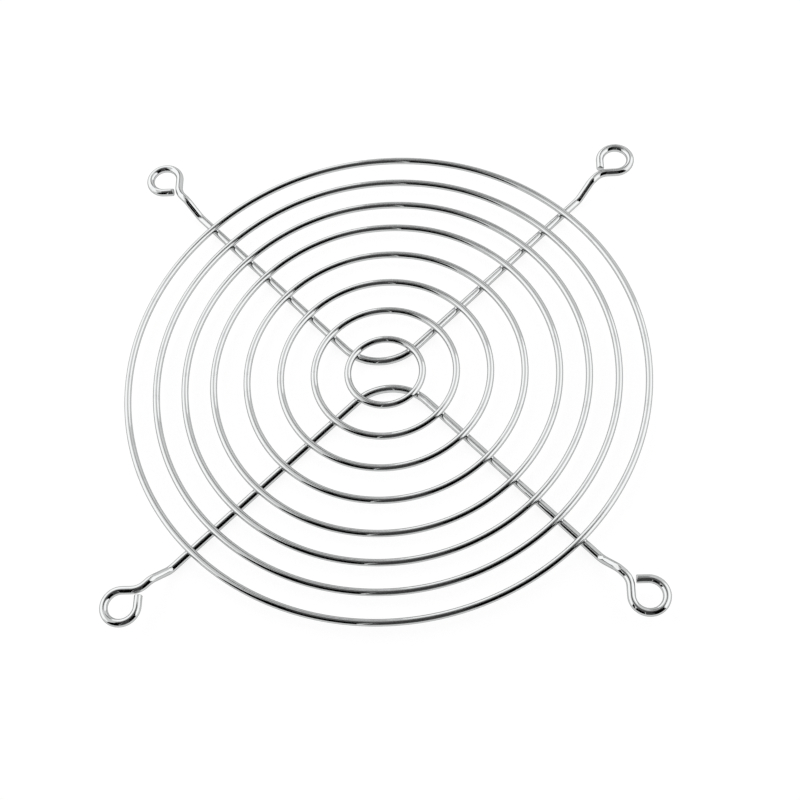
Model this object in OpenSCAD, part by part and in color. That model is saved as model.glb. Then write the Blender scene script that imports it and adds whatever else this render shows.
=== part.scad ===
// Wire fan guard: eight round rings welded on two bent spoke wires.
// The spokes lie on the ground plane, the rings lie on the spokes, and each
// spoke ends in a raised open eye at two corners of the mounting square.

/* [Mounting] */
// Spacing of the mounting holes along each side of their square
hole_spacing = 105; // [100:0.5:140]
// Inside diameter of each eye
eye_bore = 5.2; // [4.4:0.1:6.4]

/* [Rings] */
// Diameter of the ring wire
ring_wire = 1.5; // [1:0.1:2.2]
// Centreline diameter of the smallest ring
inner_ring_d = 16.2; // [14:0.2:22]
// Centreline diameter of the ring where the spacing turns from wide to close
middle_ring_d = 75; // [66:0.5:84]
// Centreline diameter of the largest ring
outer_ring_d = 112.8; // [102:0.2:118]

/* [Spokes] */
// Diameter of the spoke wire
spoke_wire = 1.7; // [1.2:0.1:2.4]
// Centreline radius of the bend in the middle of each spoke
middle_bend_r = 10.6; // [6:0.1:14]
// Clear gap between the two spokes in the middle of the guard
middle_gap = 5.1; // [2:0.1:8]
// Sideways offset of each middle bend
middle_offset = 1.2; // [0:0.1:3]

/* [Joggles] */
// Height that each joggle lifts the wire
joggle_rise = 3; // [1.5:0.1:4]
// Centreline radius of the two bends of a joggle
joggle_bend_r = 3; // [2:0.1:4]
// Slope of a joggle, in degrees
joggle_angle = 35; // [25:1:50]
// Straight wire between a joggle and its eye
joggle_lead = 0.5; // [0.1:0.1:1]

/* [Eyes] */
// Centreline radius of the bend that leads into an eye
eye_bend_r = 4; // [2:0.1:6]
// Gap between the cut end of an eye and the wire that it closes on
eye_gap = 0.3; // [0.1:0.1:1]
// Depth of the narrow land that the bending pin leaves inside an eye
eye_land = 0.02; // [0.01:0.01:0.05]

/* [Welds] */
// Depth that each ring is pressed into a spoke at a weld
weld_sink = 0.2; // [0.05:0.05:0.4]

/* [Hidden] */
$fn = 64;

// Ring 5 has the middle diameter: four even steps lie inside it and three outside
wide_steps = 4;
close_steps = 3;
wide_pitch = (middle_ring_d - inner_ring_d) / 2 / wide_steps;
close_pitch = (outer_ring_d - middle_ring_d) / 2 / close_steps;
ring_r = concat(
    [for (i = [0 : wide_steps]) inner_ring_d / 2 + i * wide_pitch],
    [for (i = [1 : close_steps]) middle_ring_d / 2 + i * close_pitch]
);

spoke_z = spoke_wire / 2;
ring_z = spoke_wire + ring_wire / 2 - weld_sink;

// Step by which the ball at a joint stands proud of the wire
joint_step = 0.01;

// Turn of the wire round an eye
eye_turn = 270;
eye_r = (eye_bore + spoke_wire) / 2 - eye_land;
eye_tail = eye_r - spoke_wire / 2 - eye_gap;

// Sloping straight of a joggle, and the length that a whole joggle covers
joggle_slope = (joggle_rise - 2 * joggle_bend_r * (1 - cos(joggle_angle))) / sin(joggle_angle);
joggle_length = 2 * joggle_bend_r * sin(joggle_angle) + joggle_slope * cos(joggle_angle);

// The middle bend's centre, and the two eyes, of the upper spoke
bend_centre = [-middle_offset, middle_bend_r + (middle_gap + spoke_wire) / 2];
left_eye = [-hole_spacing / 2, hole_spacing / 2];
right_eye = [hole_spacing / 2, hole_spacing / 2];

// Each arm aims at the centre of its eye and leaves the middle bend at a tangent,
// on the bend's left side (side = -1) or right side (side = 1)
function eye_distance(eye) = norm(bend_centre - eye);
function arm_length(eye) = sqrt(eye_distance(eye) ^ 2 - middle_bend_r ^ 2);
function arm_heading(eye, side) =
    let (inward = bend_centre - eye)
    180 + atan2(inward.y, inward.x) + side * asin(middle_bend_r / eye_distance(eye));

left_heading = arm_heading(left_eye, -1);
right_heading = arm_heading(right_eye, 1);

// A wire is drawn along +X: each piece carries what follows it on its far end.
// A ball a hair thicker than the wire closes the joint between two pieces
module joint() {
    rotate([0, 90, 0]) sphere(d = spoke_wire + 2 * joint_step);
}

module straight(length) {
    union() {
        rotate([0, 90, 0]) cylinder(h = length, d = spoke_wire);
        joint();
    }
    translate([length, 0, 0]) children();
}

// Sides that a wire can bend towards, as a roll about its own line
to_left = 0;
to_top = 90;
to_right = 180;
to_bottom = 270;

// Cross-section of the wire, with a land of the given depth on the inside of a bend
module section(roll, land) {
    difference() {
        rotate(roll) circle(d = spoke_wire);
        if (land > 0) translate([land - spoke_wire, 0]) square(spoke_wire, center = true);
    }
}

module bend(radius, angle, side, land = 0) {
    union() {
        rotate([side, 0, 0]) translate([0, radius, 0]) rotate(-90)
            rotate_extrude(angle = angle) translate([radius, 0]) section(side - 90, land);
        joint();
    }
    rotate([side, 0, 0]) translate([0, radius, 0]) rotate(angle)
        translate([0, -radius, 0]) rotate([-side, 0, 0]) children();
}

module joggle() {
    bend(joggle_bend_r, joggle_angle, to_top)
        straight(joggle_slope)
            bend(joggle_bend_r, joggle_angle, to_bottom)
                children();
}

// The wire turns aside by lead_turn, runs straight, wraps round the bore and
// ends in a straight tail that points at the wire it came from
module eye(lead_turn) {
    lead = eye_r / tan(lead_turn) - eye_bend_r * tan(lead_turn / 2);
    bend(eye_bend_r, lead_turn, to_right)
        straight(lead)
            bend(eye_r, eye_turn, to_left, eye_land)
                straight(eye_tail);
}

// One arm from the middle bend out, with its eye. leg_heading is the direction
// of the wire as it reaches the eye, along an edge of the mounting square
module arm(centre, heading, leg_heading) {
    turn = heading - leg_heading;
    length = arm_length(centre);
    corner = length - eye_r / sin(turn);
    inner = corner - eye_bend_r * tan(turn / 2) - joggle_lead - joggle_length;
    translate([centre.x, centre.y, spoke_z]) rotate(heading) translate([-length, 0, 0])
        straight(inner) joggle() straight(joggle_lead) eye(turn);
}

module middle_bend() {
    translate([bend_centre.x, bend_centre.y, spoke_z])
        rotate(left_heading + 90)
            rotate_extrude(angle = 180 - left_heading + right_heading)
                translate([middle_bend_r, 0]) section(-90, 0);
}

module ring(index) {
    translate([0, 0, ring_z])
        rotate_extrude() translate([ring_r[index], 0]) circle(d = ring_wire);
}

module spoke() {
    difference() {
        union() {
            arm(left_eye, left_heading, 90);
            middle_bend();
            arm(right_eye, right_heading, 0);
        }
        for (i = [0 : len(ring_r) - 1]) ring(i);
    }
}

module ring_1() { color("silver") ring(0); }
module ring_2() { color("silver") ring(1); }
module ring_3() { color("silver") ring(2); }
module ring_4() { color("silver") ring(3); }
module ring_5() { color("silver") ring(4); }
module ring_6() { color("silver") ring(5); }
module ring_7() { color("silver") ring(6); }
module ring_8() { color("silver") ring(7); }
module upper_spoke() { color("silver") spoke(); }
module lower_spoke() { color("silver") rotate(180) spoke(); }

ring_1();
ring_2();
ring_3();
ring_4();
ring_5();
ring_6();
ring_7();
ring_8();
upper_spoke();
lower_spoke();
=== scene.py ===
"""Wire fan guard: eight chromed rings welded on two bent spoke wires."""
import math

import bmesh
import bpy
from mathutils import Matrix, Vector


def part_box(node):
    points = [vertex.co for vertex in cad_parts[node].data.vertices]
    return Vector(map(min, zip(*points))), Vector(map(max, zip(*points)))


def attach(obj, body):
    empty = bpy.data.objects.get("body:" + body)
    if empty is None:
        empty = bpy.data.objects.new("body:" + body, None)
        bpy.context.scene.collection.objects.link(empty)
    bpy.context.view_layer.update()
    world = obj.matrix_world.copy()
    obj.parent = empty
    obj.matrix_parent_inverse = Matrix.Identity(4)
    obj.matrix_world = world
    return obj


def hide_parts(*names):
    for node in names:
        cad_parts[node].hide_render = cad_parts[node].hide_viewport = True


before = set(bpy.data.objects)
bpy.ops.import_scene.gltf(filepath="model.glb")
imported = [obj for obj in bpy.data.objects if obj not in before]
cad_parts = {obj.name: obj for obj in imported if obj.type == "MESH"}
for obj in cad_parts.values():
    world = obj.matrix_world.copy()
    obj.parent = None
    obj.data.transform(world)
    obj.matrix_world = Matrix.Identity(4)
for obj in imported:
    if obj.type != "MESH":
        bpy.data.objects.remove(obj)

bl_info = {
    "name": "Wire fan guard",
    "version": (1, 0, 0),
    "blender": (4, 5, 0),
    "location": "3D View > Sidebar > Fan guard",
    "description": "Builds a chromed wire fan guard, with its stage",
    "category": "Mesh",
}

MM = 0.001
RING_NODES = sorted(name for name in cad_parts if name.startswith("ring_"))
SPOKE_NODES = {"upper_spoke": 0.0, "lower_spoke": math.pi}

# The wires' sizes and places are read off the frame's own boxes
RING_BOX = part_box(RING_NODES[-1])
RING_WIRE = RING_BOX[1].z - RING_BOX[0].z
RING_HEIGHT = (RING_BOX[1].z + RING_BOX[0].z) / 2

# Sides that a wire can bend towards, as a roll about its own line
LEFT, TOP, RIGHT, BOTTOM = (math.radians(roll) for roll in (0, 90, 180, 270))


# ---------------------------------------------------------------- settings

class GuardSpokes(bpy.types.PropertyGroup):
    """Sizes of the two spoke wires"""

    wire: bpy.props.FloatProperty(
        name="Spoke wire", description="Diameter of the spoke wire",
        default=1.7 * MM, unit="LENGTH", precision=4)
    hole_spacing: bpy.props.FloatProperty(
        name="Hole spacing", description="Side of the square on whose corners the eyes stand",
        default=105 * MM, unit="LENGTH", precision=4)
    eye_bore: bpy.props.FloatProperty(
        name="Eye bore", description="Inside diameter of each eye",
        default=5.2 * MM, unit="LENGTH", precision=4)
    eye_bend: bpy.props.FloatProperty(
        name="Eye lead bend", description="Centreline radius of the bend that leads into an eye",
        default=4 * MM, unit="LENGTH", precision=4)
    eye_gap: bpy.props.FloatProperty(
        name="Eye gap", description="Gap between the cut end and the wire it closes on",
        default=0.3 * MM, unit="LENGTH", precision=4)
    eye_turn: bpy.props.FloatProperty(
        name="Eye turn", description="Turn of the wire round an eye",
        default=math.radians(270), subtype="ANGLE")
    middle_bend: bpy.props.FloatProperty(
        name="Middle bend", description="Centreline radius of the bend in the middle",
        default=10.6 * MM, unit="LENGTH", precision=4)
    middle_gap: bpy.props.FloatProperty(
        name="Middle gap", description="Clear gap between the two spokes",
        default=5.1 * MM, unit="LENGTH", precision=4)
    middle_offset: bpy.props.FloatProperty(
        name="Middle offset", description="Sideways offset of each middle bend",
        default=1.2 * MM, unit="LENGTH", precision=4)
    joggle_rise: bpy.props.FloatProperty(
        name="Joggle rise", description="Height that each joggle lifts the wire",
        default=3 * MM, unit="LENGTH", precision=4)
    joggle_bend: bpy.props.FloatProperty(
        name="Joggle bend", description="Centreline radius of the two bends of a joggle",
        default=3 * MM, unit="LENGTH", precision=4)
    joggle_angle: bpy.props.FloatProperty(
        name="Joggle angle", description="Slope of a joggle",
        default=math.radians(35), subtype="ANGLE")
    joggle_lead: bpy.props.FloatProperty(
        name="Joggle lead", description="Straight wire between a joggle and its eye",
        default=0.5 * MM, unit="LENGTH", precision=4)
    end_bevel: bpy.props.FloatProperty(
        name="End bevel", description="Width of the worn edge round each cut end",
        default=0.16 * MM, unit="LENGTH", precision=4)
    sides: bpy.props.IntProperty(
        name="Sides", description="Facets round the wire", default=32, min=12)
    bend_step: bpy.props.FloatProperty(
        name="Bend step", description="Turn between two cross-sections of a bend",
        default=math.radians(4), subtype="ANGLE")


class GuardRings(bpy.types.PropertyGroup):
    """Sizes of the rings"""

    wire: bpy.props.FloatProperty(
        name="Ring wire", description="Diameter of the ring wire",
        default=RING_WIRE, unit="LENGTH", precision=4)
    height: bpy.props.FloatProperty(
        name="Ring height", description="Height of the rings' centreline over the ground",
        default=RING_HEIGHT, unit="LENGTH", precision=4)
    sides: bpy.props.IntProperty(
        name="Sides", description="Facets round the wire", default=32, min=12)
    steps: bpy.props.IntProperty(
        name="Steps", description="Cross-sections round a ring", default=240, min=48)


class GuardWelds(bpy.types.PropertyGroup):
    """Sizes of the welds where rings cross spokes"""

    length: bpy.props.FloatProperty(
        name="Weld length", description="Half length of a weld along the spoke",
        default=0.95 * MM, unit="LENGTH", precision=4)
    width: bpy.props.FloatProperty(
        name="Weld width", description="Half width of a weld across the spoke",
        default=0.8 * MM, unit="LENGTH", precision=4)
    depth: bpy.props.FloatProperty(
        name="Weld depth", description="Half height of a weld between the two wires",
        default=0.34 * MM, unit="LENGTH", precision=4)
    sides: bpy.props.IntProperty(
        name="Sides", description="Facets round a weld", default=20, min=8)
    rows: bpy.props.IntProperty(
        name="Rows", description="Facets from the top of a weld to its bottom",
        default=12, min=4)


class GuardFinish(bpy.types.PropertyGroup):
    """Chrome finish"""

    colour: bpy.props.FloatVectorProperty(
        name="Chrome colour", description="Reflected colour of the plating",
        subtype="COLOR", size=3, default=(0.55, 0.556, 0.558), min=0, max=1)
    dull_colour: bpy.props.FloatVectorProperty(
        name="Dull colour", description="Reflected colour where the plating is thin",
        subtype="COLOR", size=3, default=(0.47, 0.472, 0.476), min=0, max=1)
    edge_tint: bpy.props.FloatVectorProperty(
        name="Edge tint", description="Tint of the plating where it is seen edge on",
        subtype="COLOR", size=3, default=(0.4, 0.4, 0.4), min=0, max=1)
    gloss: bpy.props.FloatProperty(
        name="Gloss roughness", description="Roughness of the bright plating",
        default=0.04, min=0, max=1)
    haze: bpy.props.FloatProperty(
        name="Haze roughness", description="Roughness of the plating where it is hazy",
        default=0.14, min=0, max=1)


class GuardStage(bpy.types.PropertyGroup):
    """Camera and floor"""

    azimuth: bpy.props.FloatProperty(
        name="Azimuth", description="Where the camera stands, round from the front to the right",
        default=math.radians(9.754), subtype="ANGLE")
    elevation: bpy.props.FloatProperty(
        name="Elevation", description="How high the camera stands",
        default=math.radians(62.041), subtype="ANGLE")
    roll: bpy.props.FloatProperty(
        name="Roll", description="How far the camera is turned about its own axis",
        default=math.radians(-10.516), subtype="ANGLE")
    distance: bpy.props.FloatProperty(
        name="Distance", description="How far the camera stands from what it looks at",
        default=295.06 * MM, unit="LENGTH")
    aim: bpy.props.FloatVectorProperty(
        name="Aim", description="Point that the camera looks at",
        subtype="TRANSLATION", size=3, default=(3.301 * MM, -6.983 * MM, 2.25 * MM))
    lens: bpy.props.FloatProperty(
        name="Lens", description="Focal length in millimetres", default=62.16)
    sensor: bpy.props.FloatProperty(
        name="Sensor", description="Width of the camera's sensor in millimetres", default=36)
    floor_radius: bpy.props.FloatProperty(
        name="Floor radius", description="Radius of the floor",
        default=3.0, unit="LENGTH")
    floor_sides: bpy.props.IntProperty(
        name="Floor sides", description="Sides of the floor's rim", default=96, min=12)
    floor_colour: bpy.props.FloatVectorProperty(
        name="Floor colour", description="Colour of the floor under the lights",
        subtype="COLOR", size=3, default=(0.16, 0.16, 0.16), min=0, max=1)
    floor_fill: bpy.props.FloatProperty(
        name="Floor fill", description="White that the floor shows besides its lit colour",
        default=0.9, min=0, max=1)


SETTINGS = {
    "guard_stage": GuardStage,
    "guard_rings": GuardRings,
    "guard_spokes": GuardSpokes,
    "guard_welds": GuardWelds,
    "guard_finish": GuardFinish,
}


# ---------------------------------------------------------------- wire paths
# A path is a list of moves (length, radius, angle, side): a straight has no
# radius and angle, and a bend has no length. A wire runs along its own +X.

def straight(length):
    """A move straight on."""
    return (length, 0.0, 0.0, 0.0)


def bend(radius, angle, side):
    """A move round a bend towards one side."""
    return (0.0, radius, angle, side)


def back_to_front(path):
    """The same path run the other way: left and right change places."""
    turned = []
    for length, radius, angle, side in reversed(path):
        if side in (LEFT, RIGHT):
            side = LEFT + RIGHT - side
        turned.append((length, radius, angle, side))
    return turned


def pivot(tip, move):
    """Centre and axis of a bend that starts at the wire's tip."""
    _, radius, _, side = move
    centre = tip @ Vector((0, radius * math.cos(side), radius * math.sin(side)))
    axis = tip.to_3x3() @ Vector((0, -math.sin(side), math.cos(side)))
    return centre, axis


def advance(tip, move, share=1.0):
    """The matrix that carries the wire's tip over a share of a move."""
    length, radius, angle, _ = move
    if not radius:
        return Matrix.Translation(tip.to_3x3() @ Vector((length * share, 0, 0)))
    centre, axis = pivot(tip, move)
    there = Matrix.Translation(centre)
    return there @ Matrix.Rotation(angle * share, 4, axis) @ there.inverted()


def end_of(tip, path):
    """Where the wire's tip stands after a path."""
    for move in path:
        tip = advance(tip, move) @ tip
    return tip


def arm_path(sizes, eye, side, leg_heading):
    """One arm from the middle bend out to its eye, and the tip that it starts from."""
    radius = sizes.middle_bend
    centre = Vector((-sizes.middle_offset, radius + (sizes.middle_gap + sizes.wire) / 2))
    inward = centre - eye
    heading = math.pi + math.atan2(inward.y, inward.x) + side * math.asin(radius / inward.length)
    length = math.sqrt(inward.length ** 2 - radius ** 2)
    eye_r = (sizes.eye_bore + sizes.wire) / 2
    turn = heading - leg_heading
    slope = sizes.joggle_angle
    rise = sizes.joggle_rise - 2 * sizes.joggle_bend * (1 - math.cos(slope))
    ramp = rise / math.sin(slope)
    covered = 2 * sizes.joggle_bend * math.sin(slope) + ramp * math.cos(slope)
    corner = length - eye_r / math.sin(turn)
    inner = corner - sizes.eye_bend * math.tan(turn / 2) - sizes.joggle_lead - covered
    tip = (Matrix.Translation((eye.x, eye.y, sizes.wire / 2))
           @ Matrix.Rotation(heading, 4, "Z") @ Matrix.Translation((-length, 0, 0)))
    path = [
        straight(inner),
        bend(sizes.joggle_bend, slope, TOP),
        straight(ramp),
        bend(sizes.joggle_bend, slope, BOTTOM),
        straight(sizes.joggle_lead),
        bend(sizes.eye_bend, turn, RIGHT),
        straight(eye_r / math.tan(turn) - sizes.eye_bend * math.tan(turn / 2)),
        bend(eye_r, sizes.eye_turn, LEFT),
        straight(eye_r - sizes.wire / 2 - sizes.eye_gap),
    ]
    return tip, path, heading


def spoke_path(sizes):
    """The upper spoke from the cut end of its left eye to that of its right eye."""
    half = sizes.hole_spacing / 2
    left_tip, left_arm, left_heading = arm_path(sizes, Vector((-half, half)), -1, math.pi / 2)
    right_tip, right_arm, right_heading = arm_path(sizes, Vector((half, half)), 1, 0.0)
    start = end_of(left_tip, left_arm) @ Matrix.Rotation(math.pi, 4, "Z")
    middle = bend(sizes.middle_bend, right_heading - left_heading + math.pi, LEFT)
    return start, back_to_front(left_arm) + [middle] + right_arm


# ---------------------------------------------------------------- meshes

# Length of the steps in which a spoke is searched for its crossings
CROSSING_STEP = 0.05 * MM
# Name of the layer that tells the finish where each vertex lies on its wire
PLACE_LAYER = "wire_place"


def new_layer(bm):
    """Each vertex keeps its place on the straight wire: along it, and across it twice."""
    return bm.verts.layers.float_vector.new(PLACE_LAYER)


def cross_section(bm, layer, radius, sides, tip):
    """The rim of the wire at its tip."""
    made = bmesh.ops.create_circle(bm, segments=sides, radius=radius)
    for vert in made["verts"]:
        vert[layer] = (0.0, vert.co.x, vert.co.y)
    upright = tip @ Matrix.Rotation(math.pi / 2, 4, "Y") @ Matrix.Rotation(math.pi / 2, 4, "Z")
    bmesh.ops.transform(bm, matrix=upright, verts=made["verts"])
    return list({edge for vert in made["verts"] for edge in vert.link_edges})


def sweep(bm, layer, rim, tip, path, bend_step):
    """Carries the rim along the path. Straights are extruded and bends are spun."""
    along = 0.0
    for move in path:
        length, radius, angle, _ = move
        steps = max(1, math.ceil(angle / bend_step)) if radius else 1
        for _ in range(steps):
            if radius:
                centre, axis = pivot(tip, move)
                made = bmesh.ops.spin(
                    bm, geom=rim, cent=centre, axis=axis, angle=angle / steps, steps=1)
                rim = [e for e in made["geom_last"] if isinstance(e, bmesh.types.BMEdge)]
                along += radius * angle / steps
            else:
                made = bmesh.ops.extrude_edge_only(bm, edges=rim)["geom"]
                fresh = [v for v in made if isinstance(v, bmesh.types.BMVert)]
                bmesh.ops.transform(bm, matrix=advance(tip, move), verts=fresh)
                rim = [e for e in made if isinstance(e, bmesh.types.BMEdge)
                       and all(v in fresh for v in e.verts)]
                along += length
            for vert in {v for e in rim for v in e.verts}:
                vert[layer] = (along, vert[layer][1], vert[layer][2])
            tip = advance(tip, move, 1 / steps) @ tip
    return rim


def cut_end(bm, rim, width):
    """Closes the wire with a flat end, its edge rounded over."""
    bmesh.ops.holes_fill(bm, edges=rim, sides=0)
    bmesh.ops.bevel(bm, geom=rim, offset=width, offset_type="OFFSET", segments=3,
                    profile=0.5, affect="EDGES", material=-1)


def placed(bm, name, material):
    """The mesh as an object at the origin."""
    if not bm.faces:
        raise RuntimeError(f"{name} has no faces")
    mesh = bpy.data.meshes.new(name)
    bm.to_mesh(mesh)
    bm.free()
    mesh.materials.append(material)
    made = bpy.data.objects.new(name, mesh)
    bpy.context.scene.collection.objects.link(made)
    return made


def finished(bm, name, material, node):
    """A piece of the guard, with smooth faces that point outwards."""
    bmesh.ops.recalc_face_normals(bm, faces=bm.faces)
    for face in bm.faces:
        face.smooth = True
    piece = placed(bm, name, material)
    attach(piece, "root")
    if node:
        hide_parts(node)


def crossings(sizes, radii):
    """Places where the upper spoke passes under a ring, with the spoke's heading there."""
    found = []
    tip, path = spoke_path(sizes)
    for move in path:
        length, radius, angle, _ = move
        steps = max(1, math.ceil((length or radius * angle) / CROSSING_STEP))
        for _ in range(steps):
            onward = advance(tip, move, 1 / steps) @ tip
            here, there = (t.translation.to_2d().length for t in (tip, onward))
            for ring_r in radii:
                if (here - ring_r) * (there - ring_r) < 0:
                    share = (ring_r - here) / (there - here)
                    place = tip.translation.lerp(onward.translation, share)
                    line = onward.to_3x3() @ Vector((1, 0, 0))
                    found.append((place, math.atan2(line.y, line.x)))
            tip = onward
    if len(found) != 2 * len(radii):
        raise RuntimeError("the upper spoke doesn't pass under each ring twice")
    return found


def ring_radius(node, wire):
    """Centreline radius of a ring, from its box."""
    low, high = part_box(node)
    return max(high.x, high.y, -low.x, -low.y) - wire / 2


# ---------------------------------------------------------------- finishes

# Scale of the draw lines along the wire and across it: they are 25 times as long as wide
LINE_STRETCH = (0.04, 1.0, 1.0)
# Depth of the draw lines, as a share of the ripples' depth
LINE_SHARE = 0.02
# Pits in the plating for each metre
PIT_SCALE = 2600.0
# Ripple heights between which the plating turns hazy, and the same for its pits
HAZY_RIPPLES = (0.52, 0.68)
HAZY_PITS = (0.35, 0.75)


def socket(group, way, name, kind, value=None):
    """A socket of a shader group, with its default."""
    made = group.interface.new_socket(name=name, in_out=way, socket_type=kind)
    if value is not None:
        made.default_value = value


def plug(tree, node, inputs):
    """Sets a node's inputs, by name or number, to constants or links them to sockets."""
    for name, value in inputs.items():
        if isinstance(value, bpy.types.NodeSocket):
            tree.links.new(value, node.inputs[name])
        else:
            node.inputs[name].default_value = value


def add(tree, kind, inputs=None, **settings):
    """A new node with its settings and inputs."""
    node = tree.nodes.new(kind)
    for name, value in settings.items():
        setattr(node, name, value)
    plug(tree, node, inputs or {})
    return node


def new_material(name):
    """A material with its tree and its shader."""
    material = bpy.data.materials.new(name)
    material.use_nodes = True
    tree = material.node_tree
    return material, tree, tree.nodes["Principled BSDF"]


def drawn_wire_group():
    """Draw lines along the wire, slow ripples in it, and hazy patches in the plating."""
    group = bpy.data.node_groups.new("drawn_wire", "ShaderNodeTree")
    socket(group, "INPUT", "Place", "NodeSocketVector")
    socket(group, "INPUT", "Line size", "NodeSocketFloat", 0.12 * MM)
    socket(group, "INPUT", "Ripple size", "NodeSocketFloat", 3.5 * MM)
    socket(group, "OUTPUT", "Height", "NodeSocketFloat")
    socket(group, "OUTPUT", "Haze", "NodeSocketFloat")
    given = add(group, "NodeGroupInput")
    out = add(group, "NodeGroupOutput")
    stretched = add(group, "ShaderNodeVectorMath", operation="MULTIPLY",
                    inputs={0: given.outputs["Place"], 1: LINE_STRETCH})
    line_scale = add(group, "ShaderNodeMath", operation="DIVIDE",
                     inputs={0: 1.0, 1: given.outputs["Line size"]})
    ripple_scale = add(group, "ShaderNodeMath", operation="DIVIDE",
                       inputs={0: 1.0, 1: given.outputs["Ripple size"]})
    lines = add(group, "ShaderNodeTexNoise",
                inputs={"Vector": stretched.outputs[0], "Scale": line_scale.outputs[0],
                        "Detail": 3.0, "Roughness": 0.6})
    ripples = add(group, "ShaderNodeTexNoise",
                  inputs={"Vector": given.outputs["Place"], "Scale": ripple_scale.outputs[0],
                          "Detail": 2.0})
    pits = add(group, "ShaderNodeTexNoise",
               inputs={"Vector": given.outputs["Place"], "Scale": PIT_SCALE, "Detail": 4.0,
                       "Roughness": 0.7})
    fine = add(group, "ShaderNodeMath", operation="MULTIPLY",
               inputs={0: lines.outputs[0], 1: LINE_SHARE})
    height = add(group, "ShaderNodeMath", operation="ADD",
                 inputs={0: fine.outputs[0], 1: ripples.outputs[0]})
    patches = add(group, "ShaderNodeMapRange", interpolation_type="SMOOTHSTEP",
                  inputs={"Value": ripples.outputs[0], "From Min": HAZY_RIPPLES[0],
                          "From Max": HAZY_RIPPLES[1]})
    specks = add(group, "ShaderNodeMapRange", interpolation_type="SMOOTHSTEP",
                 inputs={"Value": pits.outputs[0], "From Min": HAZY_PITS[0],
                         "From Max": HAZY_PITS[1]})
    haze = add(group, "ShaderNodeMath", operation="MULTIPLY", use_clamp=True,
               inputs={0: patches.outputs[0], 1: specks.outputs[0]})
    plug(group, out, {"Height": height.outputs[0], "Haze": haze.outputs[0]})
    return group


def chrome(name, finish, line_size, ripple_size, ripple_depth):
    """Bright plating over drawn wire."""
    group = bpy.data.node_groups.get("drawn_wire") or drawn_wire_group()
    material, tree, shader = new_material(name)
    spot = add(tree, "ShaderNodeAttribute", attribute_name=PLACE_LAYER)
    wire = add(tree, "ShaderNodeGroup", node_tree=group,
               inputs={"Place": spot.outputs["Vector"], "Line size": line_size,
                       "Ripple size": ripple_size})
    # A Mix node's sockets 6 and 7 are its two colours, and its output 2 is their mixture
    tone = add(tree, "ShaderNodeMix", data_type="RGBA",
               inputs={"Factor": wire.outputs["Haze"], 6: (*finish.colour, 1.0),
                       7: (*finish.dull_colour, 1.0)})
    rough = add(tree, "ShaderNodeMapRange",
                inputs={"Value": wire.outputs["Haze"], "To Min": finish.gloss,
                        "To Max": finish.haze})
    bump = add(tree, "ShaderNodeBump",
               inputs={"Strength": 1.0, "Distance": ripple_depth,
                       "Height": wire.outputs["Height"]})
    plug(tree, shader, {
        "Metallic": 1.0,
        "Specular Tint": (*finish.edge_tint, 1.0),
        "Base Color": tone.outputs[2],
        "Roughness": rough.outputs[0],
        "Normal": bump.outputs[0],
    })
    return material


WHITE = (1.0, 1.0, 1.0, 1.0)

# Curved cards round the guard: name, azimuths from and to, elevations from and to, in
# degrees, and shade. Azimuth runs from the front (0) to the right (90) and the back (180).
# Each card stands a little nearer the guard than the one before it.
CARDS = (
    ("back_card", 166, 189, 28, 60, 0.9),
    ("top_card", 0, 360, 69, 90, 0.68),
    ("top_front_card", -75, 100, 64, 90, 0.5),
    ("top_left_card", -54, -11, 56, 66, 0.32),
    ("outer_left_card", -54, -36, 44, 56, 0.32),
    ("front_edge", -11, 24, 0, 16, 0.25),
    ("front_column", -11, 24, 14, 74, 0.18),
    ("front_left_flag", -52, -12.7, 0, 47, 0.005),
    ("upper_left_flag", -38, -12.7, 45, 58, 0.02),
    ("front_right_flag", 24, 62, 0, 75, 0.005),
    ("middle_right_flag", 55, 70, 38, 75, 0.005),
    ("upper_right_flag", 65, 79, 54, 73, 0.005),
)
CARD_DISTANCE = 1.2
CARD_SPACING = 0.02
# Turn between two edges of a card's mesh
CARD_STEP = math.radians(3)

# A flag close to the guard: name, edges as above, distance and shade. It lies before the
# left flags, but the wires at the front right also show it beside them.
NEAR_FLAG = ("near_left_flag", (-52, -36, 0, 62), 0.2, 0.005)

# Soft boxes: name, azimuth and elevation in degrees, distance, width and height in metres,
# and the radiance of their cloth
SOFT_BOXES = (
    ("left_soft_box", 240, 29, 0.9, 2.1, 0.93, 0.7),
    ("right_soft_box", 95, 30, 0.9, 1.3, 0.95, 0.7),
)


def outward(azimuth, elevation):
    """Unit vector towards a place in the surroundings, from angles in radians."""
    flat = math.cos(elevation)
    return Vector((math.sin(azimuth) * flat, -math.cos(azimuth) * flat, math.sin(elevation)))


def plain_finish(name, shade):
    """A matte grey."""
    material, tree, shader = new_material(name)
    plug(tree, shader, {
        "Base Color": (shade, shade, shade, 1.0),
        "Roughness": 1.0,
        "Specular IOR Level": 0.0,
    })
    return material


def curved_card(name, edges, distance, shade):
    """A card bent round the guard, which the metal shows but the camera doesn't see."""
    left, right, low, high = (math.radians(edge) for edge in edges)
    bm = bmesh.new()
    corner = bmesh.ops.create_vert(bm, co=outward(left, low) * distance)["vert"]
    level = Vector((-math.cos(left), -math.sin(left), 0))
    bmesh.ops.spin(bm, geom=corner, cent=(0, 0, 0), axis=level, angle=high - low,
                   steps=math.ceil((high - low) / CARD_STEP))
    bmesh.ops.spin(bm, geom=bm.edges[:], cent=(0, 0, 0), axis=(0, 0, 1), angle=right - left,
                   steps=math.ceil((right - left) / CARD_STEP))
    bmesh.ops.remove_doubles(bm, verts=bm.verts, dist=0.1 * MM)
    card = placed(bm, name, plain_finish(name, shade))
    card.visible_camera = False


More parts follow.
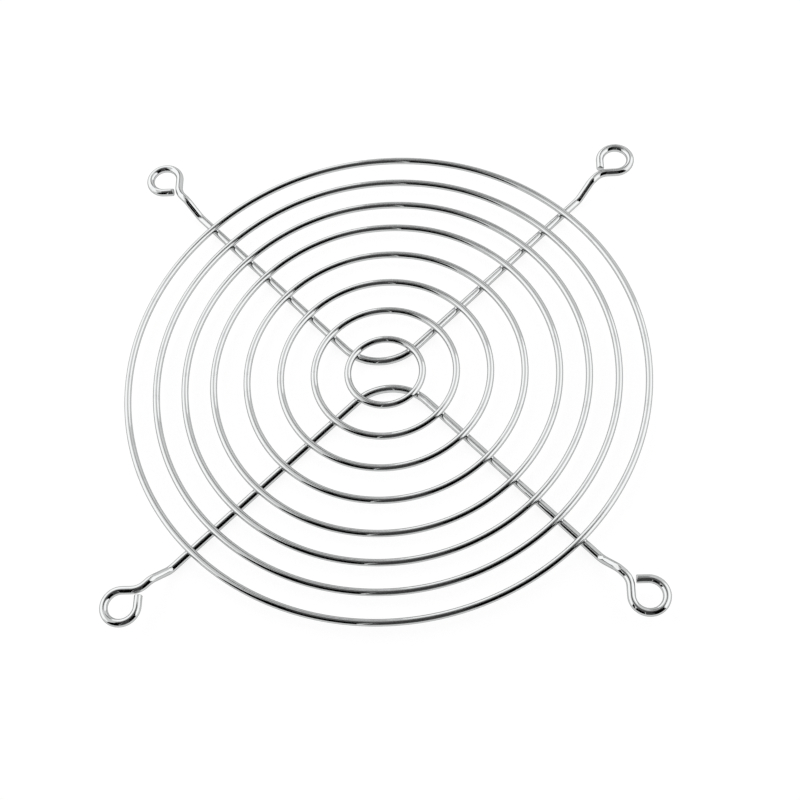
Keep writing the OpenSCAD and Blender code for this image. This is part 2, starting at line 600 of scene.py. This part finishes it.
def soft_box(name, azimuth, elevation, distance, width, height, radiance):
    """A rectangular lamp that faces the guard."""
    lamp = bpy.data.lights.new(name, "AREA")
    lamp.shape = "RECTANGLE"
    lamp.size, lamp.size_y = width, height
    lamp.energy = radiance * math.pi * width * height
    box = bpy.data.objects.new(name, lamp)
    way = outward(math.radians(azimuth), math.radians(elevation))
    box.location = way * distance
    box.rotation_euler = way.to_track_quat("Z", "Y").to_euler()
    box.visible_camera = False
    bpy.context.scene.collection.objects.link(box)


def surroundings():
    """A white room with two soft boxes, and cards that the metal shows as bands."""
    world = bpy.data.worlds.new("white_room")
    world.use_nodes = True
    bpy.context.scene.world = world
    light = world.node_tree.nodes["Background"]
    plug(world.node_tree, light, {"Color": WHITE, "Strength": 1.0})
    for number, (name, *edges, shade) in enumerate(CARDS):
        curved_card(name, edges, CARD_DISTANCE - number * CARD_SPACING, shade)
    curved_card(*NEAR_FLAG)
    for box in SOFT_BOXES:
        soft_box(*box)


def floor_finish(stage):
    """Pale floor that keeps shadows, seen from above only."""
    material, tree, shader = new_material("pale_floor")
    rays = add(tree, "ShaderNodeLightPath")
    seen = add(tree, "ShaderNodeMath", operation="MAXIMUM",
               inputs={0: rays.outputs["Is Camera Ray"], 1: rays.outputs["Is Glossy Ray"]})
    fill = add(tree, "ShaderNodeMath", operation="MULTIPLY",
               inputs={0: seen.outputs[0], 1: stage.floor_fill})
    plug(tree, shader, {
        "Base Color": (*stage.floor_colour, 1.0),
        "Roughness": 0.9,
        "Specular IOR Level": 0.0,
        "Emission Color": WHITE,
        "Emission Strength": fill.outputs[0],
    })
    clear = add(tree, "ShaderNodeBsdfTransparent")
    side = add(tree, "ShaderNodeNewGeometry")
    both = add(tree, "ShaderNodeMixShader",
               inputs={0: side.outputs["Backfacing"], 1: shader.outputs[0], 2: clear.outputs[0]})
    plug(tree, tree.nodes["Material Output"], {"Surface": both.outputs[0]})
    return material


def make_floor(stage):
    """A round floor under the guard."""
    bm = bmesh.new()
    bmesh.ops.create_circle(bm, cap_ends=True, segments=stage.floor_sides,
                            radius=stage.floor_radius)
    placed(bm, "floor", floor_finish(stage))


def make_camera(stage):
    """The camera, turned about its own axis after it is aimed."""
    scene = bpy.context.scene
    camera = bpy.data.objects.new("camera", bpy.data.cameras.new("camera"))
    scene.collection.objects.link(camera)
    scene.camera = camera
    back = outward(stage.azimuth, stage.elevation)
    across = Vector((math.cos(stage.azimuth), math.sin(stage.azimuth), 0.0))
    turned = Matrix((across, back.cross(across), back)).transposed().to_4x4()
    camera.matrix_world = (Matrix.Translation(Vector(stage.aim) + back * stage.distance)
                           @ turned @ Matrix.Rotation(stage.roll, 4, "Z"))
    camera.data.sensor_width = stage.sensor
    camera.data.lens = stage.lens
    camera.data.clip_start = 0.01
    camera.data.clip_end = 20


# ---------------------------------------------------------------- operators

class MakeGuardStage(bpy.types.Operator):
    """Set up the camera, the lights and the floor"""

    bl_idname = "guard.stage"
    bl_label = "Stage"

    def execute(self, context):
        stage = context.scene.guard_stage
        make_camera(stage)
        context.scene.view_settings.view_transform = "Standard"
        surroundings()
        make_floor(stage)
        return {"FINISHED"}


class MakeGuardRings(bpy.types.Operator):
    """Spin the round wires"""

    bl_idname = "guard.rings"
    bl_label = "Rings"

    def execute(self, context):
        rings = context.scene.guard_rings
        material = chrome("ring_chrome", context.scene.guard_finish, line_size=0.1 * MM,
                          ripple_size=4 * MM, ripple_depth=0.012 * MM)
        turn = 2 * math.pi / rings.steps
        for node in RING_NODES:
            radius = ring_radius(node, rings.wire)
            bm = bmesh.new()
            layer = new_layer(bm)
            tip = Matrix.Translation((0, -radius, rings.height))
            rim = cross_section(bm, layer, rings.wire / 2, rings.sides, tip)
            bmesh.ops.spin(bm, geom=rim, cent=(0, 0, 0), axis=(0, 0, 1),
                           angle=2 * math.pi, steps=rings.steps, use_merge=True)
            # The vertices of one cross-section lie equally far along the wire
            for vert in bm.verts:
                section = round(math.atan2(vert.co.y, vert.co.x) / turn)
                along = section * turn * radius
                vert[layer] = (along, vert[layer][1], vert[layer][2])
            finished(bm, node + "_wire", material, node)
        return {"FINISHED"}


class MakeGuardSpokes(bpy.types.Operator):
    """Bend the two spokes, with their joggles and eyes"""

    bl_idname = "guard.spokes"
    bl_label = "Spokes"

    def execute(self, context):
        spokes = context.scene.guard_spokes
        material = chrome("spoke_chrome", context.scene.guard_finish, line_size=0.12 * MM,
                          ripple_size=3 * MM, ripple_depth=0.015 * MM)
        for node, turn in SPOKE_NODES.items():
            bm = bmesh.new()
            layer = new_layer(bm)
            start, path = spoke_path(spokes)
            first = cross_section(bm, layer, spokes.wire / 2, spokes.sides, start)
            last = sweep(bm, layer, first, start, path, spokes.bend_step)
            for rim in (first, last):
                cut_end(bm, rim, spokes.end_bevel)
            bmesh.ops.rotate(bm, verts=bm.verts, cent=(0, 0, 0),
                             matrix=Matrix.Rotation(turn, 3, "Z"))
            finished(bm, node + "_wire", material, node)
        return {"FINISHED"}


class MakeGuardWelds(bpy.types.Operator):
    """Squeeze a weld out between the wires at each crossing"""

    bl_idname = "guard.welds"
    bl_label = "Welds"

    def execute(self, context):
        rings = context.scene.guard_rings
        spokes = context.scene.guard_spokes
        welds = context.scene.guard_welds
        material = chrome("weld_chrome", context.scene.guard_finish, line_size=0.3 * MM,
                          ripple_size=0.9 * MM, ripple_depth=0.03 * MM)
        radii = [ring_radius(node, rings.wire) for node in RING_NODES]
        # Halfway between the spokes' tops and the rings' undersides
        seam = (spokes.wire + rings.height - rings.wire / 2) / 2
        bm = bmesh.new()
        layer = new_layer(bm)
        for place, heading in crossings(spokes, radii):
            for turn in SPOKE_NODES.values():
                matrix = (Matrix.Rotation(turn, 4, "Z")
                          @ Matrix.Translation((place.x, place.y, seam))
                          @ Matrix.Rotation(heading, 4, "Z")
                          @ Matrix.Diagonal((welds.length, welds.width, welds.depth, 1)))
                bmesh.ops.create_uvsphere(bm, u_segments=welds.sides, v_segments=welds.rows,
                                          radius=1, matrix=matrix)
        for vert in bm.verts:
            vert[layer] = vert.co
        finished(bm, "welds", material, None)
        return {"FINISHED"}


class GuardPanel(bpy.types.Panel):
    """The guard's steps, in order"""

    bl_idname = "VIEW3D_PT_guard"
    bl_label = "Wire fan guard"
    bl_space_type = "VIEW_3D"
    bl_region_type = "UI"
    bl_category = "Fan guard"

    def draw(self, context):
        for step in STEPS:
            self.layout.operator(step.bl_idname)
        for name, group in SETTINGS.items():
            box = self.layout.box()
            box.label(text=group.__doc__)
            for prop in group.__annotations__:
                box.prop(getattr(context.scene, name), prop)


STEPS = (MakeGuardStage, MakeGuardRings, MakeGuardSpokes, MakeGuardWelds)


def register():
    for made in (*SETTINGS.values(), *STEPS, GuardPanel):
        bpy.utils.register_class(made)
    for name, group in SETTINGS.items():
        setattr(bpy.types.Scene, name, bpy.props.PointerProperty(type=group))


def unregister():
    for name in SETTINGS:
        delattr(bpy.types.Scene, name)
    for made in (GuardPanel, *reversed(STEPS), *reversed(SETTINGS.values())):
        bpy.utils.unregister_class(made)


def main():
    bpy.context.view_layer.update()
    register()
    bpy.ops.guard.stage()
    bpy.ops.guard.rings()
    bpy.ops.guard.spokes()
    bpy.ops.guard.welds()


if __name__ == "__main__":
    main()
